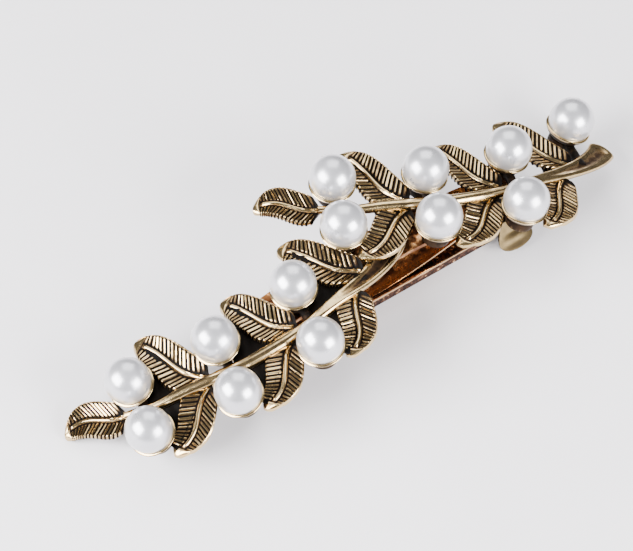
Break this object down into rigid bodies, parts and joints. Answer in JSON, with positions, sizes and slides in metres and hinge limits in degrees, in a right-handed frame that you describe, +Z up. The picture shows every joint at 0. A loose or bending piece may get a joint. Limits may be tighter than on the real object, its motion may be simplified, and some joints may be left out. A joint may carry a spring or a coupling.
{
  "type": "barrette",
  "caption": "Hair barrette: two overlapping cast leaf sprigs set with round white pearls, on a hinged spring clip with squeeze ears.",
  "frame": {"origin": "middle of the clasp arm's flat underside, on which the closed barrette lies", "axes": "+X along the clip from the hinge to the ears, +Z up through the sprigs, +Y to the back ear"},
  "size_m": [0.1104, 0.0352, 0.0225],
  "materials": {
    "antique_gold_casting": "antique gold plating, dark patina in the recesses, polished ridges",
    "pearl": "soft white pearl lustre",
    "rose_gold_clip": "bright rose gold plating on sprung steel",
    "pale_gold_ear": "matte pale gold plating"
  },
  "bodies": {
    "base": {"base_plate": "rose_gold_clip", "hinge_pin": "rose_gold_clip", "catch_plate": "rose_gold_clip", "catch_rivet": "rose_gold_clip", "lower_sprig": "antique_gold_casting", "upper_sprig": "antique_gold_casting", "lower_pearl_1": "pearl", "lower_pearl_2": "pearl", "lower_pearl_3": "pearl", "lower_pearl_4": "pearl", "lower_pearl_5": "pearl", "lower_pearl_6": "pearl", "upper_pearl_1": "pearl", "upper_pearl_2": "pearl", "upper_pearl_3": "pearl", "upper_pearl_4": "pearl", "upper_pearl_5": "pearl", "upper_pearl_6": "pearl", "upper_pearl_7": "pearl"},
    "arm": {"clasp_arm": "rose_gold_clip"},
    "bar": {"tension_bar": "rose_gold_clip"},
    "front_ear": {"front_release_ear": "pale_gold_ear"},
    "back_ear": {"back_release_ear": "pale_gold_ear"}
  },
  "joints": [
    {"name": "arm_hinge", "type": "hinge", "parent": "base", "child": "arm", "pos_m": [-0.0275, 0, 0.003], "axis": [0, 1, 0], "range_deg": [0, 100]},
    {"name": "bar_hinge", "type": "hinge", "parent": "base", "child": "bar", "pos_m": [-0.0275, 0, 0.003], "axis": [0, 1, 0], "range_deg": [0, 30]},
    {"name": "front_ear_squeeze", "type": "hinge", "parent": "base", "child": "front_ear", "pos_m": [0.0256, -0.004, 0.0053], "axis": [1, 0, 0], "range_deg": [0, 5], "stiffness_Nm_per_rad": 0.05},
    {"name": "back_ear_squeeze", "type": "hinge", "parent": "base", "child": "back_ear", "pos_m": [0.0256, 0.004, 0.0053], "axis": [-1, 0, 0], "range_deg": [0, 5], "stiffness_Nm_per_rad": 0.05}
  ],
  "couplings": [
    {"joint": "bar_hinge", "follows": "arm_hinge", "ratio": 0.3}
  ]
}
